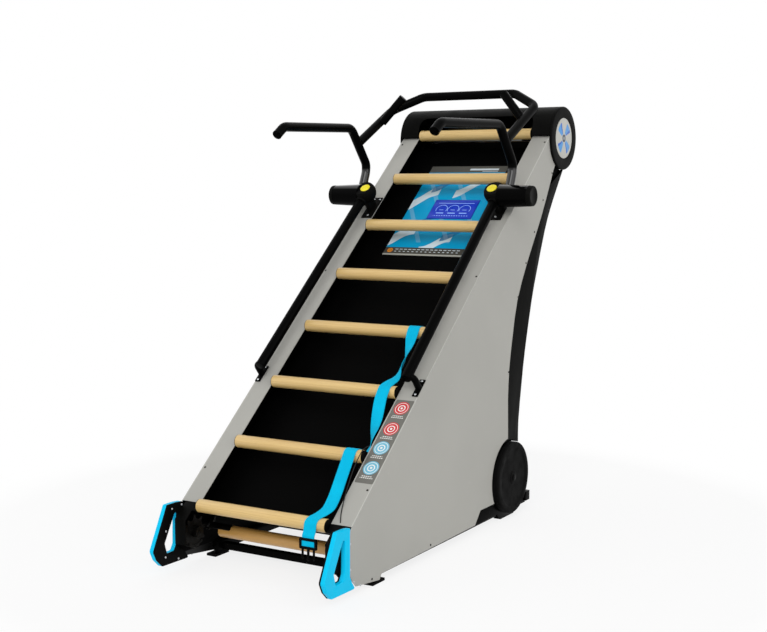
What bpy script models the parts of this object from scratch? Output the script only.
# Vertical climber: an inclined ladder of wooden rungs on an endless chain, with side panels,
# handrails, a folding handlebar, transport wheels and a training belt lying over the rungs.
# Units are metres, +Z is up, the user stands at the front (-Y) and left is -X.
from math import acos, atan2, cos, pi, radians, sin, sqrt, tan

import bmesh
import bpy
from mathutils import Matrix, Vector

# Ladder
INCLINE = radians(40)
RUNG_HEIGHT = 0.235
RUNG_PITCH = 0.3048
RUNG_RADIUS = 0.024
RUNG_LENGTH = 0.553
RUNG_HALF = RUNG_LENGTH / 2
RUNG_SIDES = 20
FRONT_RUNGS = 8
LOOP_RUNGS = 16
GAP = 0.0003
SHEET = 0.002

# Chain, sprockets and shafts
LINKS_PER_RUNG = 8
TEETH = 9
TOOTH_ROOT_DEPTH = 0.008
TOOTH_TIP_HEIGHT = 0.006
TOOTH_FOOT = 0.26
TOOTH_POINT = 0.08
SPROCKET_THICKNESS = 0.007
SPROCKET_HUB_RADIUS = 0.022
SPROCKET_HUB_LENGTH = 0.0245
CHAIN_X = RUNG_HALF + 0.0365
CHAIN_SLOT = 0.008
CHAIN_PLATE = 0.003
CHAIN_HEIGHT = 0.012
CHAIN_PIN_RADIUS = 0.004
CHAIN_PIN_SIDES = 8
CHAIN_LOWER_END = -0.010
BRACKET_INNER_X = RUNG_HALF - 0.0545
BRACKET_WIDTH = 0.025
BRACKET_THICKNESS = 0.0042
BRACKET_SINK = 0.0009
SHAFT_DEPTH = 0.087
SHAFT_DROP = 0.057
SHAFT_RADIUS = 0.0125
SHAFT_HALF = RUNG_HALF + 0.0610
SHAFT_SIDES = 20
PIN_SIDES = 20
BORE_SIDES = 24
CORNER_STEPS = 5
STUB_PROUD = 0.001
CHAIN_PITCH = RUNG_PITCH / LINKS_PER_RUNG
SPROCKET_RADIUS = CHAIN_PITCH / (2 * sin(pi / TEETH))
SHAFT_CENTRES = (LOOP_RUNGS * RUNG_PITCH - TEETH * CHAIN_PITCH) / 2
LOWER_SHAFT = -SHAFT_DROP
UPPER_SHAFT = LOWER_SHAFT + SHAFT_CENTRES
CHAIN_UPPER_END = UPPER_SHAFT - 0.010
BEARING_RADIUS = 0.024
BEARING_SQUARE = 0.060
BEARING_FLANGE = 0.006
BEARING_INNER_X = RUNG_HALF + 0.0448

# Side channels
WEB_X = RUNG_HALF + 0.0575
WEB_THICKNESS = 0.003
LIP_OUTER_X = RUNG_HALF + 0.0735
LIP_START = 0.150
GUIDE_THICKNESS = 0.006
GUIDE_START = 0.025
GUIDE_END = UPPER_SHAFT - 0.082
CHANNEL_TOP_END = UPPER_SHAFT + 0.050
CHANNEL_DEPTH = 0.158
GUSSET_FRONT = -0.040
GUSSET_REAR = 0.620
GUSSET_CHAMFER = 0.025

# Side panels, with their edge points in the side view from the bottom rung's axis
PANEL_X = RUNG_HALF + 0.0903
FLANGE_INNER_X = RUNG_HALF + 0.0060
FLANGE_OFF = -0.0025
FLANGE_START = 0.013
FLANGE_END = UPPER_SHAFT - 0.090
PANEL_FRONT = -0.005
ARCH_RADIUS = 0.168
ARCH_STEPS = 16
ARCH_FLOOR = -0.149
ARCH_END = radians(97)
PANEL_FOOT = (
    (PANEL_FRONT, -0.155), (0.010, -0.180), (0.035, -0.205), (0.093, -0.212), (0.190, -0.2235),
    (0.205, -0.204), (0.928, -0.200), (0.976, ARCH_FLOOR),
)
PANEL_REAR = (
    (1.222, 0.264), (1.231, 0.390), (1.262, 0.530), (1.305, 0.673), (1.398, 0.825), (1.529, 1.002),
    (1.610, 1.128), (1.661, 1.214),
)
PANEL_TOP = ((1.700, 1.262), (1.690, 1.330))
EDGE_STEPS = 2

# Hood and end discs
HOOD_RADIUS = 0.138
HOOD_SHEET = 0.0025
HOOD_FRONT_ANGLE = radians(176)
HOOD_REAR_ANGLE = radians(-80)
HOOD_OPENING_TOP = radians(135)
HOOD_OPENING_CORNER = 0.040
HOOD_STEPS = 30
DISC_THICKNESS = 0.010
DISC_SIDES = 44
DISC_RIM = 0.050
DISC_RECESS = 0.003
END_PLATE_THICKNESS = 0.0025
END_PLATE_SIDES = 32

# Rear cover, with its bends in the side view from the bottom rung's axis
COVER_SHEET = 0.0025
COVER_TUCK = 0.020
COVER_SLANT = 1.15
COVER_BENDS = (
    (1.331, 0.071), (1.333, 0.162), (1.363, 0.328), (1.393, 0.460), (1.454, 0.661), (1.505, 0.786),
    (1.583, 0.955), (1.635, 1.041), (1.699, 1.126), (1.7712, 1.2168),
)

# Deck, placard and display
DECK_OFF = -0.077
DECK_SHEET = 0.003
DECK_START = 0.015
DECK_END = UPPER_SHAFT - 0.075
PLACARD_HALF_WIDTH = 0.189
PLACARD_START = 1.420
PLACARD_END = 2.005
PLACARD_THICKNESS = 0.003
DISPLAY_LEFT = -0.073
DISPLAY_RIGHT = 0.141
DISPLAY_START = 1.652
DISPLAY_END = 1.774
DISPLAY_PROUD = 0.002
DISPLAY_CLEARANCE = 0.0005

# Base frame, feet and wheels
RAIL_INNER_X = RUNG_HALF + 0.0460
RAIL_WIDTH = 0.027
RAIL_TOP = 0.060
RAIL_BOTTOM = 0.020
BEAM_FRONT = 0.192
BEAM_DEPTH = 0.028
BEAM_HEIGHT = 0.025
CROSS_TUBE_REAR = 1.459
CROSS_TUBE_SIZE = 0.040
CROSS_TUBE_TOP = 0.070
CROSS_TUBE_HALF = RUNG_HALF + 0.0855
POST_Y = 1.165
POST_DEPTH = 0.030
BRACE_START = 1.950
BRACE_WIDTH = 0.025
BRACE_DEPTH = 0.020
BRACE_BELOW_DECK = 0.020
FRONT_FOOT_FRONT = 0.147
FRONT_FOOT_LENGTH = 0.081
FRONT_FOOT_OUTER_X = RUNG_HALF + 0.0890
FRONT_FOOT_PAD = 0.0095
WHEEL_RADIUS = 0.150
WHEEL_Y = 1.247
WHEEL_CLEARANCE = 0.019
WHEEL_WIDTH = 0.030
WHEEL_BORE_GAP = 0.0005
WHEEL_ROOM = 0.008
WHEEL_ROOM_SIDES = 48
WHEEL_SIDES = 32
WHEEL_HUB_RADIUS = 0.027
WHEEL_RIM_RADIUS = 0.126
WHEEL_EDGE = 0.005
WHEEL_DISH = 0.003
AXLE_RADIUS = 0.008
AXLE_CAP_RADIUS = 0.014
AXLE_CAP_THICKNESS = 0.0025
FOOT_PLATE_X = RUNG_HALF + 0.0735
FOOT_PLATE_THICKNESS = 0.005
FOOT_PLATE_FRONT = 0.930
FOOT_PLATE_REAR = 1.360
FOOT_PLATE_BOTTOM = 0.028
FOOT_PLATE_TOP = 0.086
FOOT_BLOCK_FRONT = 1.186
FOOT_BLOCK_REAR = 1.311
AXLE_EAR_RADIUS = 0.035
EAR_STEPS = 12

# Lift handles, with their outlines in the side view from the bottom rung's axis
HANDLE_INNER_X = RUNG_HALF + 0.0725
HANDLE_THICKNESS = 0.023
HANDLE_REACH = 0.166
HANDLE_BACK = -0.0085
HANDLE_CORNER = 0.007
HANDLE_STEPS = 3
HANDLE_RIM = (
    (-0.0065, 0.008), (-0.041, 0.011), (-0.090, 0.011), (-HANDLE_REACH, -0.140), (-HANDLE_REACH, -0.148),
    (-0.151, -0.178), (-0.122, -0.206), (0.024, -0.2085), (0.0035, -0.182), (HANDLE_BACK, -0.160),
    (HANDLE_BACK, -0.020),
)
HANDLE_WINDOW = (
    (-0.052, -0.024), (-0.109, -0.126), (-0.097, -0.166), (-0.055, -0.164), (-0.042, -0.142), (-0.039, -0.028),
)

# Chain covers at the foot of the ladder
COVER_INNER_X = RUNG_HALF + 0.0235
COVER_OUTER_X = RUNG_HALF + 0.0722
COVER_FRONT = -0.053
COVER_STEP = -0.024
COVER_BOTTOM = -0.140
COVER_SIDE_REAR = 0.020

# Handrails
HANDRAIL_RADIUS = 0.020
HANDRAIL_LOWER = (RUNG_HALF + 0.0495, 0.628, 0.061)
HANDRAIL_UPPER = (RUNG_HALF + 0.0410, 1.5825, 0.0735)
RAIL_ARM_RADIUS = 0.013
RAIL_FOOT_X = RUNG_HALF + 0.0770
RAIL_FOOT_WIDTH = 0.024
RAIL_FOOT_START = 0.600
RAIL_FOOT_END = 0.682
RAIL_FOOT_THICKNESS = 0.005

# Handlebar hubs
HUB_S = 1.633
HUB_OFF = 0.073
BALL_X = RUNG_HALF + 0.0345
BALL_S = 1.637
BALL_OFF = 0.085
BALL_RADIUS = 0.047
BALL_FACE = 0.1105
BALL_SEGMENTS = 22
BALL_RINGS = 11
BALL_OUTER_X = RUNG_HALF + 0.0560
HUB_PIN_RADIUS = 0.012
HUB_BORE_GAP = 0.0005
BARREL_RADIUS = 0.0475
BARREL_END_RADIUS = 0.0425
BARREL_SIDES = 32
BARREL_INNER_X = RUNG_HALF + 0.0565
BARREL_OUTER_X = RUNG_HALF + 0.1845
CAP_OUTER_X = RUNG_HALF + 0.2035
CAP_END_RADIUS = 0.041
COLLAR_RADIUS = 0.0235
HUB_FOOT_START = 1.568
HUB_FOOT_END = 1.700
HUB_FOOT_INNER_X = RUNG_HALF + 0.0070
HUB_FOOT_OUTER_X = RUNG_HALF + 0.0585
HUB_FOOT_THICKNESS = 0.005
HUB_NECK_START = 1.606
HUB_NECK_END = 1.660
HUB_NECK_HALF = 0.0105
BUTTON_X = RUNG_HALF + 0.0265
BUTTON_RADIUS = 0.0215
BUTTON_GAP = 0.0004
BUTTON_LENGTH = 0.017
BUTTON_TOP = 0.1135
BUTTON_TRAVEL = 0.004

# Handlebar tubes, in the stand's own Y and Z from the bottom rung's axis
BAR_RADIUS = 0.019
STUB_RADIUS = 0.0185
BAR_X = RUNG_HALF + 0.0755
BAR_ROOT_X = RUNG_HALF + 0.0770
BAR_NECK_X = RUNG_HALF + 0.0770
BAR_SHOULDER_X = RUNG_HALF + 0.0765
STUB_FOOT_X = RUNG_HALF + 0.0695
STUB_TOP_X = RUNG_HALF - 0.0325
CROSS_BAR_BEND_X = RUNG_HALF - 0.0515
BAR_BEND_RADIUS = 0.060
BAR_BEND_STEPS = 3
BAR_ROOT_AHEAD = 0.0305
BAR_ROOT_RISE = 0.0145
BAR_NECK = (BAR_NECK_X, 1.2544, 1.1631)
BAR_SHOULDER = (BAR_SHOULDER_X, 1.271, 1.2035)
BAR_SIDE = ((1.272, 1.240), (1.150, 1.392), (0.652, 1.379), (0.603, 1.345))
TAIL_SIDE = ((1.214, 1.332), (1.495, 1.482))
CROSS_BAR_BEND = (CROSS_BAR_BEND_X, 1.563, 1.542)
STUB = ((STUB_FOOT_X, 1.386, 1.416), (STUB_TOP_X, 1.409, 1.532))

# Speed brake
DRIVE_PULLEY_RADIUS = 0.040
BRAKE_PULLEY_RADIUS = 0.060
PULLEY_SIDES = 32
PULLEY_INNER_X = RUNG_HALF + 0.0613
PULLEY_WIDTH = 0.008
BRAKE_Y = 0.500
BRAKE_Z = 0.185
BRAKE_BELT = 0.003
BRAKE_SHAFT_RADIUS = 0.008
BRAKE_SHAFT_INNER_X = RUNG_HALF + 0.0235
BRAKE_BOX_HALF = 0.060
BRAKE_BOX_WIDTH = 0.080
BRAKE_BOX_TOP = 0.245

# Training belt, buckle and tether
WEBBING_WIDTH = 0.050
WEBBING_THICKNESS = 0.002
WEBBING_STEPS = 2
STRAP_GAP = 0.0004
BUCKLE_X = 0.2211
BUCKLE_Y = -0.037
BUCKLE_WIDTH = 0.071
BUCKLE_TOP = -0.0415
BUCKLE_HEIGHT = 0.0385
BUCKLE_THICKNESS = 0.008
BUCKLE_BAR = 0.009
PRONG_LENGTH = 0.040
PRONG_WIDTH = 0.009
PRONG_SPACING = 0.023
TETHER_RADIUS = 0.0017

# Derived sizes
RETURN_START = LOWER_SHAFT + RUNG_PITCH - TEETH * CHAIN_PITCH / 2 - SHAFT_DROP
FRONT_CHAIN = SPROCKET_RADIUS - SHAFT_DEPTH
RETURN_CHAIN = -SPROCKET_RADIUS - SHAFT_DEPTH
CHAIN_INNER_X = CHAIN_X - CHAIN_SLOT / 2 - CHAIN_PLATE
CHAIN_OUTER_X = CHAIN_X + CHAIN_SLOT / 2 + CHAIN_PLATE
SPROCKET_HUB_INNER_X = CHAIN_X - SPROCKET_THICKNESS / 4 - SPROCKET_HUB_LENGTH
HOOD_Y = UPPER_SHAFT * cos(INCLINE) + SHAFT_DEPTH * sin(INCLINE)
HOOD_Z = UPPER_SHAFT * sin(INCLINE) - SHAFT_DEPTH * cos(INCLINE)
MIDDLE_Y = (HOOD_Y + HOOD_RADIUS - HANDLE_REACH) / 2
RAIL_OUTER_X = RAIL_INNER_X + RAIL_WIDTH
WHEEL_HEIGHT = WHEEL_CLEARANCE + WHEEL_RADIUS
HUB_Y = HUB_S * cos(INCLINE) - HUB_OFF * sin(INCLINE)
HUB_Z = HUB_S * sin(INCLINE) + HUB_OFF * cos(INCLINE)
WEB_OUTER_X = WEB_X + WEB_THICKNESS

# Extruded outlines lie in their own XY plane: this turns that plane into a side view
SIDE_VIEW = Matrix(((0, 0, 1, 0), (1, 0, 0, 0), (0, 1, 0, 0), (0, 0, 0, 1)))
SIDES = (("left", -1), ("right", 1))


def clear_scene():
    for obj in list(bpy.data.objects):
        bpy.data.objects.remove(obj)


def material(name, colour, roughness, metallic=0.0):
    made = bpy.data.materials.new(name)
    made.use_nodes = True
    shader = made.node_tree.nodes["Principled BSDF"]
    shader.inputs["Base Color"].default_value = (*colour, 1)
    shader.inputs["Roughness"].default_value = roughness
    shader.inputs["Metallic"].default_value = metallic
    return made


def empty(name, location, tilt=0.0):
    made = bpy.data.objects.new(name, None)
    made.location = location
    made.rotation_euler = (tilt, 0, 0)
    bpy.context.scene.collection.objects.link(made)
    return made


def add_object(name, data, parent, finish=None):
    """Links a new object to the part's collection, under one of the two frames."""
    made = bpy.data.objects.new(name, data)
    made.parent = parent
    if finish:
        data.materials.append(finish)
    bpy.data.collections["vertical_climber"].objects.link(made)
    return made


def evaluated_mesh(obj):
    bpy.context.view_layer.update()
    graph = bpy.context.evaluated_depsgraph_get()
    mesh = bpy.data.meshes.new_from_object(obj.evaluated_get(graph))
    welded = bmesh.new()
    welded.from_mesh(mesh)
    bmesh.ops.remove_doubles(welded, verts=welded.verts, dist=0.000005)
    loose = [edge for edge in welded.edges if not edge.link_faces]
    bmesh.ops.delete(welded, geom=loose, context="EDGES")
    welded.to_mesh(mesh)
    welded.free()
    return mesh


def made_mesh(obj):
    """The curve or modified object as a plain mesh object of the same name and place."""
    mesh = evaluated_mesh(obj)
    name, parent, basis = obj.name, obj.parent, obj.matrix_basis.copy()
    bpy.data.objects.remove(obj)
    made = add_object(name, mesh, parent)
    made.matrix_basis = basis
    return made


def boolean(target, tools, operation):
    """Joins the tools to the target, or cuts them out of it, and removes them."""
    group = bpy.data.collections.new("cutters")
    bpy.context.scene.collection.children.link(group)
    for tool in tools:
        bpy.data.collections["vertical_climber"].objects.unlink(tool)
        group.objects.link(tool)
        tool.hide_render = True
        tool.display_type = "WIRE"
    modifier = target.modifiers.new(operation.lower(), "BOOLEAN")
    modifier.operation = operation
    modifier.solver = "EXACT"
    modifier.operand_type = "COLLECTION"
    modifier.collection = group
    mesh = evaluated_mesh(target)
    target.modifiers.remove(modifier)
    target.data = mesh
    for tool in tools:
        bpy.data.objects.remove(tool)
    bpy.data.collections.remove(group)
    return target


def finished(obj, finish, angle=radians(35)):
    obj.data.materials.clear()
    obj.data.materials.append(finish)
    if obj.type == "MESH":
        obj.data.shade_smooth()
        obj.data.set_sharp_from_angle(angle=angle)
    return obj


def box(name, parent, x, y, z, finish=None):
    """A block between the pairs of limits x, y and z."""
    shape = bmesh.new()
    bmesh.ops.create_cube(shape, size=1)
    size = (abs(x[1] - x[0]), abs(y[1] - y[0]), abs(z[1] - z[0]))
    bmesh.ops.scale(shape, vec=size, verts=shape.verts)
    mesh = bpy.data.meshes.new(name)
    shape.to_mesh(mesh)
    shape.free()
    made = add_object(name, mesh, parent, finish)
    made.location = (sum(x) / 2, sum(y) / 2, sum(z) / 2)
    return made


def cylinder(name, parent, start, end, radius, sides=24, finish=None, end_radius=None):
    """A round bar from one point to another, which can taper to another radius at its end."""
    start, end = Vector(start), Vector(end)
    shape = bmesh.new()
    bmesh.ops.create_cone(
        shape, cap_ends=True, segments=sides, radius1=radius, radius2=end_radius or radius,
        depth=(end - start).length,
    )
    mesh = bpy.data.meshes.new(name)
    shape.to_mesh(mesh)
    shape.free()
    made = add_object(name, mesh, parent, finish)
    turn = (end - start).to_track_quat("Z", "Y").to_matrix().to_4x4()
    made.matrix_basis = Matrix.Translation((start + end) / 2) @ turn
    return made


def turned(name, parent, centre, profile, steps=32, closed=False):
    """A solid turned about X: the profile is (radius, distance outward along X) pairs."""
    shape = bmesh.new()
    corners = [shape.verts.new((radius, 0, along)) for radius, along in profile]
    for first, second in zip(corners, corners[1:]):
        shape.edges.new((first, second))
    if closed:
        shape.edges.new((corners[-1], corners[0]))
    mesh = bpy.data.meshes.new(name)
    shape.to_mesh(mesh)
    shape.free()
    made = add_object(name, mesh, parent)
    made.rotation_euler = (0, pi / 2, 0)
    made.location = centre
    screw = made.modifiers.new("turn", "SCREW")
    screw.axis = "Z"
    screw.steps = steps
    screw.render_steps = steps
    screw.use_merge_vertices = True
    screw.merge_threshold = 0.0001
    return made_mesh(made)


def extruded(name, parent, outlines, near, far, side_view=True):
    """Closed outlines, the first with the others as holes, extruded between two distances."""
    curve = bpy.data.curves.new(name, "CURVE")
    curve.dimensions = "2D"
    curve.fill_mode = "BOTH"
    curve.extrude = abs(far - near) / 2
    for outline in outlines:
        spline = curve.splines.new("POLY")
        spline.points.add(len(outline) - 1)
        for point, place in zip(spline.points, outline):
            point.co = (place[0], place[1], 0, 1)
        spline.use_cyclic_u = True
    made = add_object(name, curve, parent)
    middle = (near + far) / 2
    if side_view:
        made.matrix_basis = Matrix.Translation((middle, 0, 0)) @ SIDE_VIEW
    else:
        made.location = (0, 0, middle)
    return made_mesh(made)


def tube(name, parent, points, radius, resolution=3):
    curve = bpy.data.curves.new(name, "CURVE")
    curve.dimensions = "3D"
    curve.bevel_depth = radius
    curve.bevel_resolution = resolution
    curve.use_fill_caps = True
    spline = curve.splines.new("POLY")
    spline.points.add(len(points) - 1)
    for point, place in zip(spline.points, points):
        point.co = (*place, 1)
    return made_mesh(add_object(name, curve, parent))


def smooth(points, steps):
    """Points on a smooth curve through the given ones, with steps of them to each span."""
    places = [Vector(point) for point in points]
    ends = [2 * places[0] - places[1]] + places + [2 * places[-1] - places[-2]]
    path = []
    for before, start, end, after in zip(ends, ends[1:], ends[2:], ends[3:]):
        for step in range(steps):
            t = step / steps
            path.append(
                (
                    2 * start
                    + (end - before) * t
                    + (2 * before - 5 * start + 4 * end - after) * t ** 2
                    + (3 * start - before - 3 * end + after) * t ** 3
                )
                / 2
            )
    return path + [places[-1]]


def rounded(points, radius, steps=4, closed=False):
    """The path through the points with each corner turned into an arc."""
    places = [Vector(point) for point in points]
    path = []
    for index, corner in enumerate(places):
        if not closed and index in (0, len(places) - 1):
            path.append(corner)
            continue
        before = places[index - 1] - corner
        after = places[(index + 1) % len(places)] - corner
        half = acos(max(-1, min(1, before.normalized().dot(after.normalized())))) / 2
        reach = min(radius / tan(half), before.length * 0.45, after.length * 0.45)
        start = corner + before.normalized() * reach
        end = corner + after.normalized() * reach
        for step in range(steps + 1):
            t = step / steps
            path.append(start * (1 - t) ** 2 + corner * 2 * t * (1 - t) + end * t ** 2)
    return path


def arc(centre, radius, start, end, steps):
    return [
        (centre[0] + radius * cos(start + (end - start) * i / steps),
         centre[1] + radius * sin(start + (end - start) * i / steps))
        for i in range(steps + 1)
    ]


def on_incline(y, z):
    """A side view point, measured from the bottom rung's axis, as (along, outward) of the ladder."""
    return (y * cos(INCLINE) + z * sin(INCLINE), z * cos(INCLINE) - y * sin(INCLINE))


def in_side_view(along, outward):
    """The side view point, measured from the bottom rung's axis, of a point on the ladder."""
    return (along * cos(INCLINE) - outward * sin(INCLINE), along * sin(INCLINE) + outward * cos(INCLINE))


def slope_height(y, outward):
    """The height over the bottom rung's axis, at y, of the plane that lies outward of the rungs' plane."""
    along = (y + outward * sin(INCLINE)) / cos(INCLINE)
    return in_side_view(along, outward)[1]


def mirrored(limits, side):
    """The pair of X limits on one side of the climber, lower first."""
    return tuple(sorted(side * value for value in limits))


def make_front_rungs(incline, wood):
    for index in range(FRONT_RUNGS):
        along = index * RUNG_PITCH
        rung = cylinder(
            f"front_rung_{index + 1}", incline,
            (-RUNG_HALF, along, 0), (RUNG_HALF, along, 0), RUNG_RADIUS, RUNG_SIDES,
        )
        finished(rung, wood)


def chain_rails(name, incline, side, outward):
    """The two plates of one chain strand, with a cross pin halfway between rungs."""
    low = outward - CHAIN_HEIGHT / 2
    high = outward + CHAIN_HEIGHT / 2
    ends = (CHAIN_LOWER_END, CHAIN_UPPER_END)
    near = mirrored((CHAIN_INNER_X, CHAIN_INNER_X + CHAIN_PLATE), side)
    far = mirrored((CHAIN_OUTER_X - CHAIN_PLATE, CHAIN_OUTER_X), side)
    inner = box(name, incline, near, ends, (low, high))
    pieces = [box("outer_plate", incline, far, ends, (low, high))]
    inset = CHAIN_PLATE / 2
    for index in range(FRONT_RUNGS - 1):
        along = (index + 0.5) * RUNG_PITCH
        pieces.append(
            cylinder(
                "pin", incline, (side * (CHAIN_INNER_X + inset), along, outward),
                (side * (CHAIN_OUTER_X - inset), along, outward), CHAIN_PIN_RADIUS, CHAIN_PIN_SIDES,
            )
        )
    return inner, pieces


def rung_bracket(incline, side, along, limits):
    reach = CHAIN_INNER_X + CHAIN_PLATE / 2
    return box(
        "rung_bracket", incline, mirrored((BRACKET_INNER_X, reach), side),
        (along - BRACKET_WIDTH / 2, along + BRACKET_WIDTH / 2), limits,
    )


def make_front_chains(incline, steel):
    top = -RUNG_RADIUS - GAP
    for side_name, side in SIDES:
        strand, pieces = chain_rails(f"{side_name}_front_chain", incline, side, FRONT_CHAIN)
        for index in range(FRONT_RUNGS):
            pieces.append(rung_bracket(incline, side, index * RUNG_PITCH, (top - BRACKET_THICKNESS, top)))
        finished(boolean(strand, pieces, "UNION"), steel)


def make_return_ladder(incline, wood):
    """The hidden half of the loop: its chain strands, brackets and rungs as one piece."""
    rung_off = -2 * SHAFT_DEPTH
    base = rung_off + RUNG_RADIUS - BRACKET_SINK
    ladder, pieces = chain_rails("return_ladder", incline, -1, RETURN_CHAIN)
    second, more = chain_rails("second_strand", incline, 1, RETURN_CHAIN)
    pieces += [second] + more
    for index in range(LOOP_RUNGS - FRONT_RUNGS):
        along = RETURN_START + index * RUNG_PITCH
        for _, side in SIDES:
            pieces.append(rung_bracket(incline, side, along, (base, base + BRACKET_THICKNESS + BRACKET_SINK)))
        pieces.append(
            cylinder(
                "return_rung", incline, (-RUNG_HALF, along, rung_off),
                (RUNG_HALF, along, rung_off), RUNG_RADIUS, RUNG_SIDES,
            )
        )
    finished(boolean(ladder, pieces, "UNION"), wood)


def sprocket_outline(phase):
    """Slim teeth between gaps that are centred on the chain's joints."""
    root = SPROCKET_RADIUS - TOOTH_ROOT_DEPTH
    tip = SPROCKET_RADIUS + TOOTH_TIP_HEIGHT
    step = 2 * pi / TEETH
    outline = []
    for tooth in range(TEETH):
        middle = phase + (tooth + 0.5) * step
        for turn, radius in ((-TOOTH_FOOT, root), (-TOOTH_POINT, tip), (TOOTH_POINT, tip), (TOOTH_FOOT, root)):
            angle = middle + turn * step
            outline.append((radius * cos(angle), radius * sin(angle)))
    return outline


def make_sprocket(name, incline, side, centre, steel):
    """A chain sprocket whose hub reaches inward along the shaft."""
    limits = mirrored((CHAIN_X - SPROCKET_THICKNESS / 2, CHAIN_X + SPROCKET_THICKNESS / 2), side)
    phase = pi / 2 + (centre[0] / CHAIN_PITCH) % 1 * 2 * pi / TEETH
    wheel = extruded(name, incline, [sprocket_outline(phase)], *limits)
    wheel.location.yz = centre
    hub = cylinder(
        "hub", incline, (side * SPROCKET_HUB_INNER_X, *centre),
        (side * (SPROCKET_HUB_INNER_X + SPROCKET_HUB_LENGTH), *centre), SPROCKET_HUB_RADIUS, SHAFT_SIDES,
    )
    boolean(wheel, [hub], "UNION")
    bore = cylinder(
        "bore", incline, (side * (SPROCKET_HUB_INNER_X - SPROCKET_THICKNESS), *centre),
        (side * (CHAIN_X + SPROCKET_THICKNESS), *centre), SHAFT_RADIUS + GAP, SHAFT_SIDES,
    )
    finished(boolean(wheel, [bore], "DIFFERENCE"), steel)


def make_shafts(incline, steel):
    """One shaft joins the upper sprockets. Each lower sprocket turns on a stub shaft of its own."""
    upper = (UPPER_SHAFT, -SHAFT_DEPTH)
    lower = (LOWER_SHAFT, -SHAFT_DEPTH)
    shaft = cylinder(
        "upper_shaft", incline, (-SHAFT_HALF, *upper), (SHAFT_HALF, *upper), SHAFT_RADIUS, SHAFT_SIDES
    )
    finished(shaft, steel)
    for side_name, side in SIDES:
        stub = cylinder(
            f"{side_name}_lower_shaft", incline, (side * (SPROCKET_HUB_INNER_X - STUB_PROUD), *lower),
            (side * SHAFT_HALF, *lower), SHAFT_RADIUS, SHAFT_SIDES,
        )
        if side < 0:
            add_drive_pulley(stub, incline, lower)
        finished(stub, steel)
        for end_name, centre in (("lower", lower), ("upper", upper)):
            make_sprocket(f"{side_name}_{end_name}_sprocket", incline, side, centre, steel)
            make_bearing(f"{side_name}_{end_name}_bearing", incline, side, centre, steel)


def add_drive_pulley(stub, incline, centre):
    """The brake's drive pulley, on the outer end of the left stub shaft."""
    pulley = cylinder(
        "drive_pulley", incline, (-PULLEY_INNER_X - PULLEY_WIDTH, *centre),
        (-PULLEY_INNER_X, *centre), DRIVE_PULLEY_RADIUS, PULLEY_SIDES,
    )
    boss = cylinder(
        "boss", incline, (-PULLEY_INNER_X - PULLEY_WIDTH / 2, *centre),
        (-SHAFT_HALF + PULLEY_WIDTH / 2, *centre), SHAFT_RADIUS - GAP, SHAFT_SIDES,
    )
    boolean(stub, [pulley, boss], "UNION")


def make_bearing(name, incline, side, centre, steel):
    outer = WEB_X - GAP
    half = BEARING_SQUARE / 2
    body = box(
        name, incline, mirrored((outer - BEARING_FLANGE, outer), side),
        (centre[0] - half, centre[0] + half), (centre[1] - half, centre[1] + half),
    )
    boss = cylinder(
        "boss", incline, (side * BEARING_INNER_X, *centre), (side * (outer - BEARING_FLANGE / 2), *centre),
        BEARING_RADIUS, BORE_SIDES,
    )
    boolean(body, [boss], "UNION")
    bore = cylinder(
        "bore", incline, (side * (BEARING_INNER_X - BEARING_FLANGE), *centre),
        (side * (outer + BEARING_FLANGE), *centre), SHAFT_RADIUS + GAP, SHAFT_SIDES,
    )
    finished(boolean(body, [bore], "DIFFERENCE"), steel)


def channel_outline():
    """The web: the strip along the ladder, with a gusset from its foot down to the base rail."""
    top = FLANGE_OFF - SHEET - GAP
    foot = RAIL_TOP + GAP - RUNG_HEIGHT
    return [
        (GUSSET_FRONT, slope_height(GUSSET_FRONT, top)),
        (GUSSET_FRONT, foot + GUSSET_CHAMFER),
        (GUSSET_FRONT + GUSSET_CHAMFER, foot),
        (GUSSET_REAR, foot),
        (GUSSET_REAR, slope_height(GUSSET_REAR, -CHANNEL_DEPTH)),
        in_side_view(CHANNEL_TOP_END, -CHANNEL_DEPTH),
        in_side_view(CHANNEL_TOP_END, top),
    ]


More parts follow.
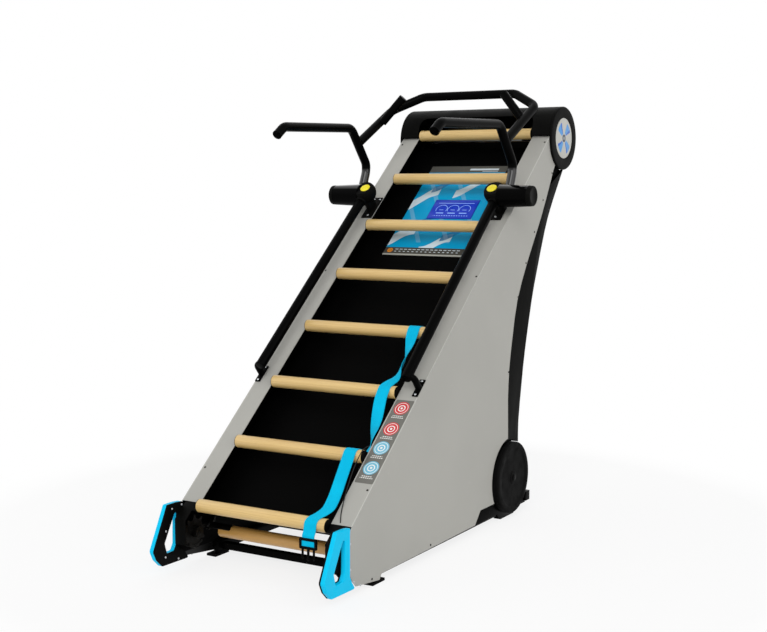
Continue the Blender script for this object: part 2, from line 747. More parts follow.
def make_channels(stand, incline, black):
    top = FLANGE_OFF - SHEET - GAP
    low = -CHANNEL_DEPTH
    front_guide = FRONT_CHAIN - CHAIN_HEIGHT / 2 - GAP
    return_guide = RETURN_CHAIN - CHAIN_HEIGHT / 2 - GAP
    for side_name, side in SIDES:
        web = extruded(
            f"{side_name}_side_channel", stand, [lifted(channel_outline())],
            *mirrored((WEB_X, WEB_OUTER_X), side),
        )
        lip = mirrored((WEB_X + SHEET / 2, LIP_OUTER_X), side)
        ledge = mirrored((CHAIN_INNER_X + CHAIN_PLATE / 2 + GAP, WEB_X + SHEET / 2), side)
        guide = (GUIDE_START, GUIDE_END)
        pieces = [
            box("top_lip", incline, lip, (LIP_START, FLANGE_END), (top - WEB_THICKNESS, top)),
            box("low_lip", incline, lip, (LIP_START, FLANGE_END), (low, low + WEB_THICKNESS)),
            box("front_guide", incline, ledge, guide, (front_guide - GUIDE_THICKNESS, front_guide)),
            box("return_guide", incline, ledge, guide, (return_guide - GUIDE_THICKNESS, return_guide)),
        ]
        boolean(web, pieces, "UNION")
        cutters = [
            cylinder(
                "shaft_hole", incline, (side * (WEB_X - WEB_THICKNESS), along, -SHAFT_DEPTH),
                (side * (WEB_OUTER_X + WEB_THICKNESS), along, -SHAFT_DEPTH), SHAFT_RADIUS + 2 * GAP, BORE_SIDES,
            )
            for along in (LOWER_SHAFT, UPPER_SHAFT)
        ]
        if side < 0:
            cutters.append(
                cylinder(
                    "brake_hole", stand, (-WEB_X + WEB_THICKNESS, BRAKE_Y, BRAKE_Z),
                    (-WEB_OUTER_X - WEB_THICKNESS, BRAKE_Y, BRAKE_Z), BRAKE_SHAFT_RADIUS + 2 * GAP, BORE_SIDES,
                )
            )
        finished(boolean(web, cutters, "DIFFERENCE"), black)


def lifted(points):
    """Side view points measured from the bottom rung's axis, as heights above the floor."""
    return [(y, z + RUNG_HEIGHT) for y, z in points]


def panel_rear_edge():
    """The panel's rear edge from the wheel arch up to the end disc."""
    return [tuple(point) for point in smooth([(*bend, 0) for bend in PANEL_REAR], EDGE_STEPS)]


def panel_outline():
    """The side panel, seen from the side and measured from the bottom rung's axis."""
    edge = FLANGE_OFF - SHEET / 2
    axle = (WHEEL_Y, WHEEL_HEIGHT - RUNG_HEIGHT)
    drop = axle[1] - ARCH_FLOOR
    arch_start = pi + atan2(drop, sqrt(ARCH_RADIUS ** 2 - drop ** 2))
    return (
        [(PANEL_FRONT, slope_height(PANEL_FRONT, edge)), *PANEL_FOOT]
        + arc(axle, ARCH_RADIUS, arch_start, ARCH_END, ARCH_STEPS)
        + [point[:2] for point in panel_rear_edge()]
        + [*PANEL_TOP, in_side_view(FLANGE_END, edge)]
    )


def make_panels(stand, incline, grey):
    """Each panel is one sheet, folded in along the ladder to make the front flange."""
    for side_name, side in SIDES:
        sheet = mirrored((PANEL_X - SHEET, PANEL_X), side)
        panel = extruded(f"{side_name}_side_panel", stand, [lifted(panel_outline())], *sheet)
        flange = box(
            "flange", incline, mirrored((FLANGE_INNER_X, PANEL_X - SHEET / 4), side),
            (FLANGE_START, FLANGE_END), (FLANGE_OFF - SHEET, FLANGE_OFF),
        )
        finished(boolean(panel, [flange], "UNION"), grey)


def make_hood(stand, black, grey):
    """The rolled hood over the upper sprockets, open at the front between the flanges."""
    centre = (HOOD_Y, HOOD_Z + RUNG_HEIGHT)
    band = arc(centre, HOOD_RADIUS, HOOD_REAR_ANGLE, 0, HOOD_STEPS // 4)
    band += arc(centre, HOOD_RADIUS, 0, HOOD_FRONT_ANGLE, HOOD_STEPS)[1:]
    band += arc(centre, HOOD_RADIUS - HOOD_SHEET, HOOD_FRONT_ANGLE, HOOD_REAR_ANGLE, HOOD_STEPS)
    hood = extruded("top_hood", stand, [band], -PANEL_X, PANEL_X)
    top = centre[1] + HOOD_RADIUS * sin(HOOD_OPENING_TOP)
    bottom = centre[1] + HOOD_RADIUS * sin(HOOD_FRONT_ANGLE) - 2 * HOOD_OPENING_CORNER
    half = FLANGE_INNER_X
    mouth = [(-half, bottom), (half, bottom), (half, top), (-half, top)]
    window = rounded(mouth, HOOD_OPENING_CORNER, CORNER_STEPS, True)
    front = HOOD_Y - HOOD_RADIUS
    cutter = extruded("opening", stand, [window], -HOOD_RADIUS, 0, side_view=False)
    cutter.matrix_basis = Matrix.Translation((0, front + HOOD_RADIUS / 3, 0)) @ Matrix.Rotation(pi / 2, 4, "X")
    finished(boolean(hood, [cutter], "DIFFERENCE"), black)
    for side_name, side in SIDES:
        inner = PANEL_X + GAP
        disc = cylinder(
            f"{side_name}_hood_disc", stand, (side * inner, *centre),
            (side * (inner + DISC_THICKNESS), *centre), HOOD_RADIUS, DISC_SIDES,
        )
        recess = cylinder(
            "recess", stand, (side * (inner + DISC_THICKNESS - DISC_RECESS), *centre),
            (side * (inner + 2 * DISC_THICKNESS), *centre), HOOD_RADIUS - DISC_RIM + GAP, END_PLATE_SIDES,
        )
        finished(boolean(disc, [recess], "DIFFERENCE"), black)
        seat = inner + DISC_THICKNESS - DISC_RECESS + GAP
        plate = cylinder(
            f"{side_name}_hood_end_plate", stand, (side * seat, *centre),
            (side * (seat + END_PLATE_THICKNESS), *centre), HOOD_RADIUS - DISC_RIM, END_PLATE_SIDES,
        )
        finished(plate, grey)


def cover_edge():
    """The rear cover's outer edge from its foot to the hood, measured from the bottom rung's axis."""
    return [point[:2] for point in smooth([(*bend, 0) for bend in COVER_BENDS], EDGE_STEPS)]


def make_rear_cover(stand, black):
    """A folded cover that closes the back between the side panels."""
    outer = cover_edge()
    inner_edge = [(y - COVER_TUCK, z) for y, z in [point[:2] for point in panel_rear_edge()]]
    front = [(inner_edge[0][0], outer[0][1])] + inner_edge[:-2]
    solid = extruded(
        "rear_cover", stand, [lifted(outer + front[::-1])],
        -(PANEL_X - SHEET - GAP), PANEL_X - SHEET - GAP,
    )
    half = PANEL_X - SHEET - GAP - COVER_SHEET
    hollow = [(y - COVER_SHEET * COVER_SLANT, z) for y, z in outer]
    hollow[0] = (hollow[0][0], hollow[0][1] - COVER_TUCK)
    hollow[-1] = (hollow[-1][0], hollow[-1][1] + COVER_TUCK)
    far = [(y - COVER_TUCK, z) for y, z in front]
    far[0] = (far[0][0], hollow[0][1])
    far.append((far[-1][0], hollow[-1][1]))
    cutters = [extruded("hollow", stand, [lifted(hollow + far[::-1])], -half, half)]
    for _, side in SIDES:
        cutters.append(
            cylinder(
                "wheel_room", stand, (side * FOOT_PLATE_X, WHEEL_Y, WHEEL_HEIGHT),
                (side * (PANEL_X + SHEET), WHEEL_Y, WHEEL_HEIGHT), WHEEL_RADIUS + WHEEL_ROOM, WHEEL_ROOM_SIDES,
            )
        )
    finished(boolean(solid, cutters, "DIFFERENCE"), black)


def make_deck(incline, black, blue, screen):
    half = WEB_X - GAP
    box("inner_deck", incline, (-half, half), (DECK_START, DECK_END), (DECK_OFF - DECK_SHEET, DECK_OFF), black)
    base = DECK_OFF + GAP
    top = base + PLACARD_THICKNESS
    gap = DISPLAY_CLEARANCE
    sheet = [(-PLACARD_HALF_WIDTH, PLACARD_START), (PLACARD_HALF_WIDTH, PLACARD_START),
             (PLACARD_HALF_WIDTH, PLACARD_END), (-PLACARD_HALF_WIDTH, PLACARD_END)]
    window = [(DISPLAY_LEFT - gap, DISPLAY_START - gap), (DISPLAY_RIGHT + gap, DISPLAY_START - gap),
              (DISPLAY_RIGHT + gap, DISPLAY_END + gap), (DISPLAY_LEFT - gap, DISPLAY_END + gap)]
    board = extruded("placard_board", incline, [sheet, window], base, top, side_view=False)
    finished(board, blue)
    box(
        "display_module", incline, (DISPLAY_LEFT, DISPLAY_RIGHT), (DISPLAY_START, DISPLAY_END),
        (base, top + DISPLAY_PROUD), screen,
    )
    brace = DECK_OFF - DECK_SHEET - BRACE_BELOW_DECK
    box(
        "upper_cross_brace", incline, (-half, half), (BRACE_START, BRACE_START + BRACE_WIDTH),
        (brace - BRACE_DEPTH, brace), black,
    )


def make_base_frame(stand, incline, black):
    """Two rails on the floor side, tied by two cross tubes and carrying the rear uprights."""
    rail = (RAIL_INNER_X, RAIL_OUTER_X)
    rear = CROSS_TUBE_REAR - CROSS_TUBE_SIZE / 2
    length = (BEAM_FRONT - BEAM_DEPTH, rear)
    height = (RAIL_BOTTOM, RAIL_TOP)
    frame = box("base_frame", stand, mirrored(rail, -1), length, height)
    inset = RAIL_INNER_X + RAIL_WIDTH / 4
    tube_low = CROSS_TUBE_TOP - CROSS_TUBE_SIZE
    pieces = [
        box("right_rail", stand, mirrored(rail, 1), length, height),
        box(
            "front_beam", stand, (-inset, inset), (BEAM_FRONT, BEAM_FRONT + BEAM_DEPTH),
            (RAIL_BOTTOM + GAP, RAIL_BOTTOM + BEAM_HEIGHT),
        ),
        box(
            "rear_tube", stand, (-CROSS_TUBE_HALF, CROSS_TUBE_HALF),
            (CROSS_TUBE_REAR - CROSS_TUBE_SIZE, CROSS_TUBE_REAR), (tube_low, CROSS_TUBE_TOP),
        ),
    ]
    under = -CHANNEL_DEPTH - GAP
    profile = [
        (POST_Y, RAIL_TOP - GAP - RUNG_HEIGHT), (POST_Y + POST_DEPTH, RAIL_TOP - GAP - RUNG_HEIGHT),
        (POST_Y + POST_DEPTH, slope_height(POST_Y + POST_DEPTH, under)), (POST_Y, slope_height(POST_Y, under)),
    ]
    for _, side in SIDES:
        limits = mirrored((RAIL_INNER_X + GAP, RAIL_OUTER_X - GAP), side)
        pieces.append(extruded("rear_upright", stand, [lifted(profile)], *limits))
    finished(boolean(frame, pieces, "UNION"), black)


def make_feet(stand, rubber, black):
    for side_name, side in SIDES:
        ends = (FRONT_FOOT_FRONT, FRONT_FOOT_FRONT + FRONT_FOOT_LENGTH)
        foot = box(
            f"{side_name}_front_foot", stand, mirrored((RAIL_INNER_X, FRONT_FOOT_OUTER_X), side), ends,
            (0, FRONT_FOOT_PAD),
        )
        boss = box(
            "boss", stand, mirrored((RAIL_INNER_X + GAP, RAIL_OUTER_X), side),
            (ends[0] + BEAM_DEPTH, ends[1] - GAP), (FRONT_FOOT_PAD / 2, RAIL_BOTTOM - GAP),
        )
        finished(boolean(foot, [boss], "UNION"), rubber)
        make_rear_foot(stand, side_name, side, black)


def make_rear_foot(stand, side_name, side, black):
    """The plate beside the base rail that carries the wheel's axle and stands on the floor."""
    axle = (WHEEL_Y, WHEEL_HEIGHT)
    ear = arc(axle, AXLE_EAR_RADIUS, 0, pi, EAR_STEPS)
    heel = FOOT_PLATE_BOTTOM / 2
    outline = (
        [(FOOT_PLATE_FRONT, FOOT_PLATE_BOTTOM), (FOOT_BLOCK_FRONT - 2 * heel, FOOT_PLATE_BOTTOM),
         (FOOT_BLOCK_FRONT, 0), (FOOT_BLOCK_REAR, 0), (FOOT_BLOCK_REAR + 2 * heel, FOOT_PLATE_BOTTOM),
         (FOOT_PLATE_REAR, FOOT_PLATE_BOTTOM), (FOOT_PLATE_REAR, FOOT_PLATE_TOP),
         (WHEEL_Y + AXLE_EAR_RADIUS, FOOT_PLATE_TOP)]
        + ear
        + [(WHEEL_Y - AXLE_EAR_RADIUS, FOOT_PLATE_TOP), (FOOT_PLATE_FRONT, FOOT_PLATE_TOP)]
    )
    outer = FOOT_PLATE_X + FOOT_PLATE_THICKNESS
    plate = extruded(f"{side_name}_rear_foot_plate", stand, [outline], *mirrored((FOOT_PLATE_X, outer), side))
    block = box(
        "block", stand, mirrored((RAIL_INNER_X, FOOT_PLATE_X + GAP), side),
        (FOOT_BLOCK_FRONT, FOOT_BLOCK_REAR), (0, RAIL_BOTTOM - GAP),
    )
    wheel_inner = outer + 2 * GAP
    wheel_outer = wheel_inner + WHEEL_WIDTH
    axle_rod = cylinder(
        "axle", stand, (side * (outer - FOOT_PLATE_THICKNESS / 2), *axle),
        (side * (wheel_outer + AXLE_CAP_THICKNESS), *axle), AXLE_RADIUS, PIN_SIDES,
    )
    cap = cylinder(
        "cap", stand, (side * (wheel_outer + 2 * GAP), *axle),
        (side * (wheel_outer + 2 * GAP + AXLE_CAP_THICKNESS), *axle), AXLE_CAP_RADIUS, PIN_SIDES,
    )
    finished(boolean(plate, [block, axle_rod, cap], "UNION"), black)


def make_wheels(stand, rubber):
    inner = FOOT_PLATE_X + FOOT_PLATE_THICKNESS + 2 * GAP
    bore = AXLE_RADIUS + WHEEL_BORE_GAP
    edge = WHEEL_EDGE
    floor = WHEEL_WIDTH / 2 - WHEEL_DISH
    half = WHEEL_WIDTH / 2
    profile = [
        (bore, half), (WHEEL_HUB_RADIUS, half), (WHEEL_HUB_RADIUS + edge, floor),
        (WHEEL_RIM_RADIUS - edge, floor), (WHEEL_RIM_RADIUS, half), (WHEEL_RADIUS - edge, half),
        (WHEEL_RADIUS, half - edge),
        (WHEEL_RADIUS, edge - half), (WHEEL_RADIUS - edge, -half), (bore, -half),
    ]
    for side_name, side in SIDES:
        place = (side * (inner + half), WHEEL_Y, WHEEL_HEIGHT)
        wheel = turned(f"{side_name}_transport_wheel", stand, place, profile, WHEEL_SIDES, closed=True)
        finished(wheel, rubber)


def handle_outlines():
    """The lift handle and its finger window, measured from the bottom rung's axis."""
    return [
        rounded([(*point, 0) for point in outline], HANDLE_CORNER, HANDLE_STEPS, True)
        for outline in (HANDLE_RIM, HANDLE_WINDOW)
    ]


def make_lift_handles(stand, blue):
    limits = (HANDLE_INNER_X, HANDLE_INNER_X + HANDLE_THICKNESS)
    for side_name, side in SIDES:
        rim, window = handle_outlines()
        outlines = [lifted([point[:2] for point in outline]) for outline in (rim, window)]
        handle = extruded(f"{side_name}_lift_handle", stand, outlines, *mirrored(limits, side))
        finished(handle, blue)


def make_chain_covers(stand, incline, black):
    """The folded cover in front of each lower sprocket, open inward where the rung brackets pass."""
    end = (COVER_FRONT + FLANGE_OFF * sin(INCLINE)) / cos(INCLINE)
    corner = in_side_view(end, FLANGE_OFF)
    side_profile = [
        (COVER_FRONT, corner[1] - SHEET), (COVER_FRONT, COVER_BOTTOM), (COVER_SIDE_REAR, COVER_BOTTOM),
        (COVER_SIDE_REAR, slope_height(COVER_SIDE_REAR, FLANGE_OFF - 2 * SHEET)),
        in_side_view(FLANGE_START - SHEET, FLANGE_OFF - 2 * SHEET),
        in_side_view(FLANGE_START - SHEET, FLANGE_OFF - SHEET / 2),
    ]
    for side_name, side in SIDES:
        edge = FLANGE_START - GAP
        top = [(COVER_INNER_X, end), (COVER_OUTER_X, end), (COVER_OUTER_X, edge), (FLANGE_INNER_X, edge),
               (FLANGE_INNER_X, COVER_STEP), (COVER_INNER_X, COVER_STEP)]
        top = [(side * x, along) for x, along in top]
        cover = extruded(
            f"{side_name}_chain_cover", incline, [top], FLANGE_OFF - SHEET, FLANGE_OFF, side_view=False
        )
        wall = extruded(
            "side_wall", stand, [lifted(side_profile)],
            *mirrored((COVER_OUTER_X - SHEET, COVER_OUTER_X - GAP), side),
        )
        front = box(
            "front_wall", stand, mirrored((COVER_INNER_X, COVER_OUTER_X - SHEET / 2), side),
            (COVER_FRONT, COVER_FRONT + SHEET),
            (COVER_BOTTOM + RUNG_HEIGHT, corner[1] + RUNG_HEIGHT - SHEET / 2),
        )
        finished(boolean(cover, [wall, front], "UNION"), black)


def make_handrails(incline, black):
    """A straight rail over each flange, with a cast arm and foot at its lower end."""
    for side_name, side in SIDES:
        lower = Vector((side * HANDRAIL_LOWER[0], *HANDRAIL_LOWER[1:]))
        upper = Vector((side * HANDRAIL_UPPER[0], *HANDRAIL_UPPER[1:]))
        rail = cylinder(f"{side_name}_handrail", incline, lower, upper, HANDRAIL_RADIUS, PIN_SIDES)
        foot_off = FLANGE_OFF + GAP
        foot_x = side * RAIL_FOOT_X
        half = RAIL_FOOT_WIDTH / 2
        middle = (RAIL_FOOT_START + RAIL_FOOT_END) / 2
        elbow = (foot_x, middle, lower.z - HANDRAIL_RADIUS / 2)
        ankle = (foot_x, middle, foot_off + RAIL_FOOT_THICKNESS / 2)
        bend = rounded([lower + Vector((0, HANDRAIL_RADIUS, 0)), elbow, ankle], 2 * HANDRAIL_RADIUS, CORNER_STEPS)
        arm = tube("arm", incline, bend, RAIL_ARM_RADIUS)
        foot = box(
            "foot", incline, (foot_x - half, foot_x + half), (RAIL_FOOT_START, RAIL_FOOT_END),
            (foot_off, foot_off + RAIL_FOOT_THICKNESS),
        )
        finished(boolean(rail, [arm, foot], "UNION"), black)


def make_hub_housings(incline, black, yellow):
    """The ball joint on each flange: it holds the handrail, the pivot pin and the release button."""
    for side_name, side in SIDES:
        centre = Vector((side * BALL_X, BALL_S, BALL_OFF))
        shape = bmesh.new()
        bmesh.ops.create_uvsphere(shape, u_segments=BALL_SEGMENTS, v_segments=BALL_RINGS, radius=BALL_RADIUS)
        mesh = bpy.data.meshes.new("ball")
        shape.to_mesh(mesh)
        shape.free()
        ball = add_object(f"{side_name}_hub_housing", mesh, incline)
        ball.location = centre
        rail_end = Vector((side * HANDRAIL_UPPER[0], *HANDRAIL_UPPER[1:]))
        rail_start = Vector((side * HANDRAIL_LOWER[0], *HANDRAIL_LOWER[1:]))
        along = (rail_end - rail_start).normalized()
        collar = cylinder(
            "collar", incline, rail_end + along * GAP, rail_end + along * BALL_RADIUS, COLLAR_RADIUS, BORE_SIDES,
        )
        boolean(ball, [collar], "UNION")
        wide = 2 * BALL_RADIUS
        across = mirrored((BALL_X - wide, BALL_X + wide), side)
        length = (BALL_S - wide, BALL_S + wide)
        cuts = [
            box(
                "outer_cut", incline, mirrored((BALL_OUTER_X, BALL_X + wide), side), length,
                (BALL_OFF - wide, BALL_OFF + wide),
            ),
            box("face_cut", incline, across, length, (BALL_FACE, BALL_OFF + wide)),
        ]
        boolean(ball, cuts, "DIFFERENCE")
        foot_off = FLANGE_OFF + GAP
        middle_x = side * (HUB_FOOT_INNER_X + HUB_FOOT_OUTER_X) / 2
        pin_end = BARREL_OUTER_X + (CAP_OUTER_X - BARREL_OUTER_X) / 2
        pieces = [
            cylinder(
                "pin", incline, (side * BALL_X, HUB_S, HUB_OFF), (side * pin_end, HUB_S, HUB_OFF),
                HUB_PIN_RADIUS, PIN_SIDES,
            ),
            cylinder(
                "cap", incline, (side * (BARREL_OUTER_X + 2 * GAP), HUB_S, HUB_OFF),
                (side * CAP_OUTER_X, HUB_S, HUB_OFF), BARREL_END_RADIUS, BARREL_SIDES, end_radius=CAP_END_RADIUS,
            ),
            box(
                "foot", incline, mirrored((HUB_FOOT_INNER_X, HUB_FOOT_OUTER_X), side),
                (HUB_FOOT_START, HUB_FOOT_END), (foot_off, foot_off + HUB_FOOT_THICKNESS),
            ),
            box(
                "neck", incline, (middle_x - HUB_NECK_HALF, middle_x + HUB_NECK_HALF),
                (HUB_NECK_START, HUB_NECK_END),
                (foot_off + HUB_FOOT_THICKNESS / 2, BALL_OFF - BALL_RADIUS / 2),
            ),
        ]
        boolean(ball, pieces, "UNION")
        floor = BUTTON_TOP - BUTTON_LENGTH
        place = (side * BUTTON_X, BALL_S)
        bore = cylinder(
            "bore", incline, (*place, floor - BUTTON_TRAVEL - GAP),
            (*place, BUTTON_TOP + BUTTON_LENGTH), BUTTON_RADIUS + BUTTON_GAP, BORE_SIDES,
        )
        finished(boolean(ball, [bore], "DIFFERENCE"), black)
        button = cylinder(
            f"{side_name}_release_button", incline, (*place, floor), (*place, BUTTON_TOP), BUTTON_RADIUS,
            BORE_SIDES,
        )
        finished(button, yellow)


def bar_paths():
    """The handlebar's tubes: (points, bend radius, tube radius). One tube makes both tails and the cross bar."""
    root = (BAR_ROOT_X, HUB_Y + BAR_ROOT_AHEAD, HUB_Z + BAR_ROOT_RISE)
    upright = [root, BAR_NECK, BAR_SHOULDER, *[(BAR_X, *point) for point in BAR_SIDE]]
    tail = [*[(BAR_X, *point) for point in TAIL_SIDE], CROSS_BAR_BEND]
    paths = [(opposite(tail) + tail[::-1], BAR_BEND_RADIUS, BAR_RADIUS)]
    for points, bend, radius in ((upright, BAR_BEND_RADIUS, BAR_RADIUS), (STUB, 0, STUB_RADIUS)):
        paths += [(points, bend, radius), (opposite(points), bend, radius)]
    return paths


def opposite(points):
    return [(-x, y, z) for x, y, z in points]


def make_handlebar(stand, incline, black):
    """One welded frame: a barrel on each hub pin, the grips, the side tubes and the cross bar."""
    barrels = []
    for side_name, side in SIDES:
        barrel = cylinder(
            f"{side_name}_barrel", incline, (side * BARREL_INNER_X, HUB_S, HUB_OFF),
            (side * BARREL_OUTER_X, HUB_S, HUB_OFF), BARREL_RADIUS, BARREL_SIDES,
            end_radius=BARREL_END_RADIUS,
        )
        barrels.append(barrel)
    frame, pieces = barrels[0], barrels[1:]
    frame.name = "handlebar_frame"
    for points, bend, radius in bar_paths():
        places = lifted_points(points)
        if bend:
            places = rounded(places, bend, BAR_BEND_STEPS)
        pieces.append(tube("bar", stand, places, radius))
    boolean(frame, pieces, "UNION")
    bores = [
        cylinder(
            "bore", incline, (side * (BARREL_INNER_X - BAR_RADIUS), HUB_S, HUB_OFF),
            (side * (BARREL_OUTER_X + BAR_RADIUS), HUB_S, HUB_OFF), HUB_PIN_RADIUS + HUB_BORE_GAP, BORE_SIDES,
        )
        for _, side in SIDES
    ]
    finished(boolean(frame, bores, "DIFFERENCE"), black)


def lifted_points(points):
    return [Vector((x, y, z + RUNG_HEIGHT)) for x, y, z in points]


def belt_loop(first, first_radius, second, second_radius, steps=16):
    """The outline of a belt round two pulleys, seen from the side."""
    span = Vector(second) - Vector(first)
    heading = atan2(span.y, span.x)
    lean = acos((first_radius - second_radius) / span.length)
    return (
        arc(second, second_radius, heading - lean, heading + lean, steps)
        + arc(first, first_radius, heading + lean, heading + 2 * pi - lean, steps)
    )


def make_brake(stand, black, rubber, steel):
    """The speed brake behind the ladder's foot, driven by a belt from the lower shaft."""
    drive = in_side_view(LOWER_SHAFT, -SHAFT_DEPTH)
    drive = (drive[0], drive[1] + RUNG_HEIGHT)
    brake = (BRAKE_Y, BRAKE_Z)
    outer_x = PULLEY_INNER_X + PULLEY_WIDTH
    pulley = cylinder(
        "brake_pulley", stand, (-outer_x, *brake), (-PULLEY_INNER_X, *brake), BRAKE_PULLEY_RADIUS, PULLEY_SIDES
    )
    spindle = cylinder(
        "spindle", stand, (-PULLEY_INNER_X - PULLEY_WIDTH / 2, *brake), (-BRAKE_SHAFT_INNER_X, *brake),
        BRAKE_SHAFT_RADIUS, PIN_SIDES,
    )
    finished(boolean(pulley, [spindle], "UNION"), steel)
    loops = [
        belt_loop(drive, DRIVE_PULLEY_RADIUS + reach, brake, BRAKE_PULLEY_RADIUS + reach)
        for reach in (GAP + BRAKE_BELT, GAP)
    ]
    belt = extruded("brake_belt", stand, loops, -outer_x + GAP, -PULLEY_INNER_X - GAP)
    finished(belt, rubber)
    box_outer = WEB_X - GAP
    housing = box(
        "brake_housing", stand, mirrored((box_outer - BRAKE_BOX_WIDTH, box_outer), -1),
        (BRAKE_Y - BRAKE_BOX_HALF, BRAKE_Y + BRAKE_BOX_HALF), (RAIL_TOP + GAP, BRAKE_BOX_TOP),
    )
    bore = cylinder(
        "bore", stand, (-box_outer - PULLEY_WIDTH, *brake), (-BRAKE_SHAFT_INNER_X + GAP, *brake),
        BRAKE_SHAFT_RADIUS + GAP, BORE_SIDES,
    )
    finished(boolean(housing, [bore], "DIFFERENCE"), black)


# The webbing's route down the ladder: x, rung, distance up the ladder from that rung's axis, distance
# outward (None where it lies on the rung) and twist in degrees
WEBBING_ROUTE = (
    (0.2220, 3, 0.0300, -0.008, 0), (0.2222, 3, 0.0270, 0.006, 0), (0.2226, 3, 0.0195, None, 0),
    (0.2232, 3, 0.0120, None, 0), (0.2236, 3, 0.0040, None, 0), (0.2240, 3, -0.0040, None, 0),
    (0.2248, 3, -0.0144, 0.0237, 0), (0.2275, 3, -0.0424, 0.0185, 5), (0.2320, 3, -0.0844, 0.0070, 30),
    (0.2370, 3, -0.1394, -0.001, 60), (0.2370, 3, -0.1894, 0.0010, 58), (0.2430, 2, 0.0754, 0.0080, 30),
    (0.2460, 2, 0.0444, 0.0170, 6), (0.2370, 2, 0.0204, 0.0220, 0), (0.2325, 2, 0.0050, None, 0),
    (0.2322, 2, -0.0050, None, 0), (0.2324, 2, -0.0150, 0.0229, 0), (0.2330, 2, -0.0446, 0.0172, 0),
    (0.2390, 2, -0.0846, 0.0080, 0), (0.2460, 2, -0.1246, -0.002, 8), (0.2530, 2, -0.1646, -0.009, 25),
    (0.2575, 1, 0.1052, -0.017, 48), (0.2575, 1, 0.0782, -0.027, 58), (0.2540, 1, 0.0592, -0.037, 42),
    (0.2470, 1, 0.0452, -0.036, 20), (0.2400, 1, 0.0365, -0.022, 5), (0.2350, 1, 0.0300, -0.006, 0),
    (0.2335, 1, 0.0264, 0.004, 0), (0.2325, 1, 0.0215, None, 0), (0.2315, 1, 0.0140, None, 0),
    (0.2308, 1, 0.0050, None, 0), (0.2305, 1, -0.0040, None, 0), (0.2310, 1, -0.0150, 0.0231, 0),
    (0.2340, 1, -0.0498, 0.0185, 0), (0.2410, 1, -0.1098, 0.0140, 0), (0.2490, 1, -0.1648, 0.0120, 0),
    (0.2540, 0, 0.0950, 0.0120, 0), (0.2550, 0, 0.0600, 0.0145, 0), (0.2440, 0, 0.0320, 0.0195, 0),
    (0.2320, 0, 0.0160, 0.0228, 0), (0.2262, 0, 0.0050, None, 0), (0.2240, 0, -0.0040, None, 0),
    (0.2224, 0, -0.0120, None, 0), (0.2214, 0, -0.0190, None, 0),
)
# Its last drop in front of the bottom rung, in the side view: y and z from the rung's axis
WEBBING_DROP = (
    (-0.0268, -0.0110), (-0.0300, -0.0220), (BUCKLE_Y + 0.001, -0.0320), (BUCKLE_Y, BUCKLE_TOP + GAP),
)


def strap_place(x, rung, ahead, outward):
    """A point of the strap's middle line near a rung."""
    if outward is None:
        seat = RUNG_RADIUS + WEBBING_THICKNESS / 2 + STRAP_GAP
        outward = sqrt(seat ** 2 - ahead ** 2)
    return Vector((x, rung * RUNG_PITCH + ahead, outward))


def make_webbing(incline, blue):
    """A flat strap swept along its route, twisted where it lies between the rungs."""
    route = [strap_place(*point[:4]) for point in WEBBING_ROUTE]
    route += [Vector((BUCKLE_X, *on_incline(*point))) for point in WEBBING_DROP]
    twists = [point[4] for point in WEBBING_ROUTE] + [0] * len(WEBBING_DROP)
    path = smooth(route, WEBBING_STEPS)
    turns = [twist[0] for twist in smooth([(twist, 0, 0) for twist in twists], WEBBING_STEPS)]
    shape = bmesh.new()
    rings = []
    for index, place in enumerate(path):
        ahead = path[min(index + 1, len(path) - 1)]
        behind = path[max(index - 1, 0)]
        heading = ahead - behind
        heading.x = 0
        heading.normalize()
        across = Matrix.Rotation(radians(turns[index]), 3, heading) @ Vector((1, 0, 0))
        face = heading.cross(across)
        corners = ((-1, -1), (1, -1), (1, 1), (-1, 1))
        rings.append([
            shape.verts.new(place + across * a * WEBBING_WIDTH / 2 + face * b * WEBBING_THICKNESS / 2)
            for a, b in corners
        ])
    for first, second in zip(rings, rings[1:]):
        for corner in range(4):
            after = (corner + 1) % 4
            shape.faces.new((first[corner], first[after], second[after], second[corner]))
    shape.faces.new(rings[0][::-1])
    shape.faces.new(rings[-1])
    bmesh.ops.recalc_face_normals(shape, faces=shape.faces)
    mesh = bpy.data.meshes.new("webbing_belt")
    shape.to_mesh(mesh)
    shape.free()
    finished(add_object("webbing_belt", mesh, incline), blue)


def make_buckle(stand, black):
    """The open half of a side release buckle, hanging at the strap's end."""
    top = BUCKLE_TOP + RUNG_HEIGHT
    half = BUCKLE_WIDTH / 2
    bar = BUCKLE_BAR
    low = top - BUCKLE_HEIGHT
    frame = [(BUCKLE_X - half, low), (BUCKLE_X + half, low), (BUCKLE_X + half, top), (BUCKLE_X - half, top)]
    slot = [(BUCKLE_X - half + bar, low + bar), (BUCKLE_X + half - bar, low + bar),
            (BUCKLE_X + half - bar, top - bar), (BUCKLE_X - half + bar, top - bar)]
    outlines = [rounded([(*point, 0) for point in frame], bar / 2, 3, True),
                rounded([(*point, 0) for point in slot], bar / 3, 2, True)]
    flat = [[point[:2] for point in outline] for outline in outlines]
    buckle = extruded("belt_buckle", stand, flat, -BUCKLE_THICKNESS / 2, BUCKLE_THICKNESS / 2, side_view=False)
    buckle.matrix_basis = Matrix.Translation((0, BUCKLE_Y, 0)) @ Matrix.Rotation(pi / 2, 4, "X")
    depth = (BUCKLE_Y - BUCKLE_THICKNESS / 3, BUCKLE_Y + BUCKLE_THICKNESS / 3)
    prongs = []
    for index in (-1, 0, 1):
        middle = BUCKLE_X + index * PRONG_SPACING
        width = (middle - PRONG_WIDTH / 2, middle + PRONG_WIDTH / 2)
        prongs.append(box("prong", stand, width, depth, (low - PRONG_LENGTH, low + bar / 2)))
    finished(boolean(buckle, prongs, "UNION"), black)


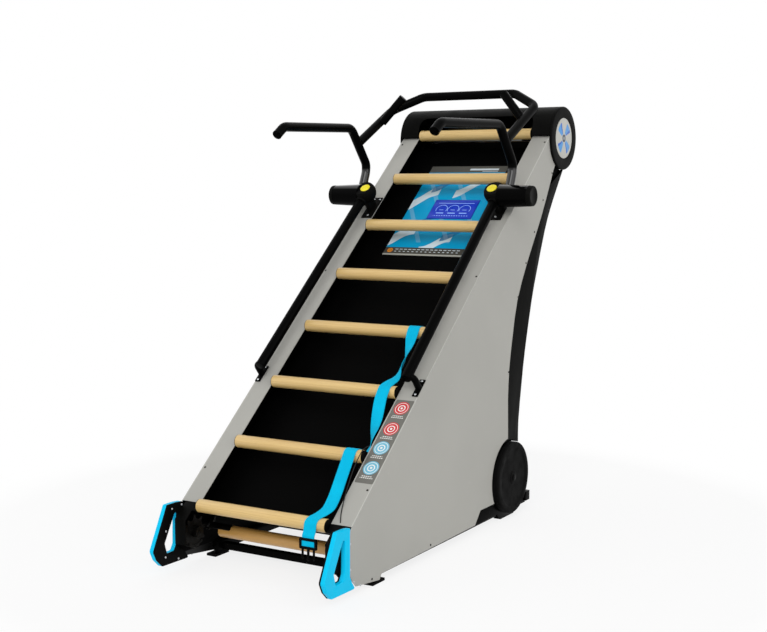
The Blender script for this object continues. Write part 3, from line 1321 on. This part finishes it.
# The tether's route from the corner cover to the strap: x, along the ladder, outward
TETHER_ROUTE = (
    (0.3160, 0.022, -0.0004), (0.3100, 0.036, -0.0004), (0.3000, 0.062, -0.0003), (0.2910, 0.100, 0.0030),
    (0.2838, 0.160, 0.0120), (0.2804, 0.220, 0.0240), (0.2796, 0.270, 0.0300), (0.2796, 0.310, 0.0290),
    (0.2800, 0.335, 0.0180), (0.2800, 0.350, 0.0060),
)


def make_tether(incline, black):
    tether = tube("tether_cord", incline, smooth(TETHER_ROUTE, 5), TETHER_RADIUS, 2)
    finished(tether, black)


def main():
    clear_scene()
    collection = bpy.data.collections.new("vertical_climber")
    bpy.context.scene.collection.children.link(collection)
    stand = empty("stand", (0, -MIDDLE_Y, 0))
    incline = empty("incline", (0, -MIDDLE_Y, RUNG_HEIGHT), INCLINE)

    wood = material("varnished_wood", (0.60, 0.43, 0.20), 0.45)
    grey = material("grey_paint", (0.37, 0.36, 0.33), 0.45)
    black = material("black_paint", (0.012, 0.012, 0.012), 0.45)
    steel = material("zinc_steel", (0.30, 0.30, 0.30), 0.35, 1.0)
    blue = material("cyan_plastic", (0.01, 0.55, 0.86), 0.40)
    screen = material("dark_blue_screen", (0.02, 0.05, 0.18), 0.25)
    yellow = material("yellow_plastic", (0.87, 0.75, 0.04), 0.35)
    rubber = material("black_rubber", (0.015, 0.015, 0.015), 0.70)
    strap = material("cyan_webbing", (0.01, 0.55, 0.86), 0.75)

    make_front_rungs(incline, wood)
    make_front_chains(incline, steel)
    make_return_ladder(incline, wood)
    make_shafts(incline, steel)
    make_channels(stand, incline, black)
    make_panels(stand, incline, grey)
    make_hood(stand, black, grey)
    make_rear_cover(stand, black)
    make_deck(incline, black, blue, screen)
    make_base_frame(stand, incline, black)
    make_feet(stand, rubber, black)
    make_wheels(stand, rubber)
    make_lift_handles(stand, blue)
    make_chain_covers(stand, incline, black)
    make_handrails(incline, black)
    make_hub_housings(incline, black, yellow)
    make_handlebar(stand, incline, black)
    make_brake(stand, black, rubber, steel)
    make_webbing(incline, strap)
    make_buckle(stand, black)
    make_tether(incline, black)


main()
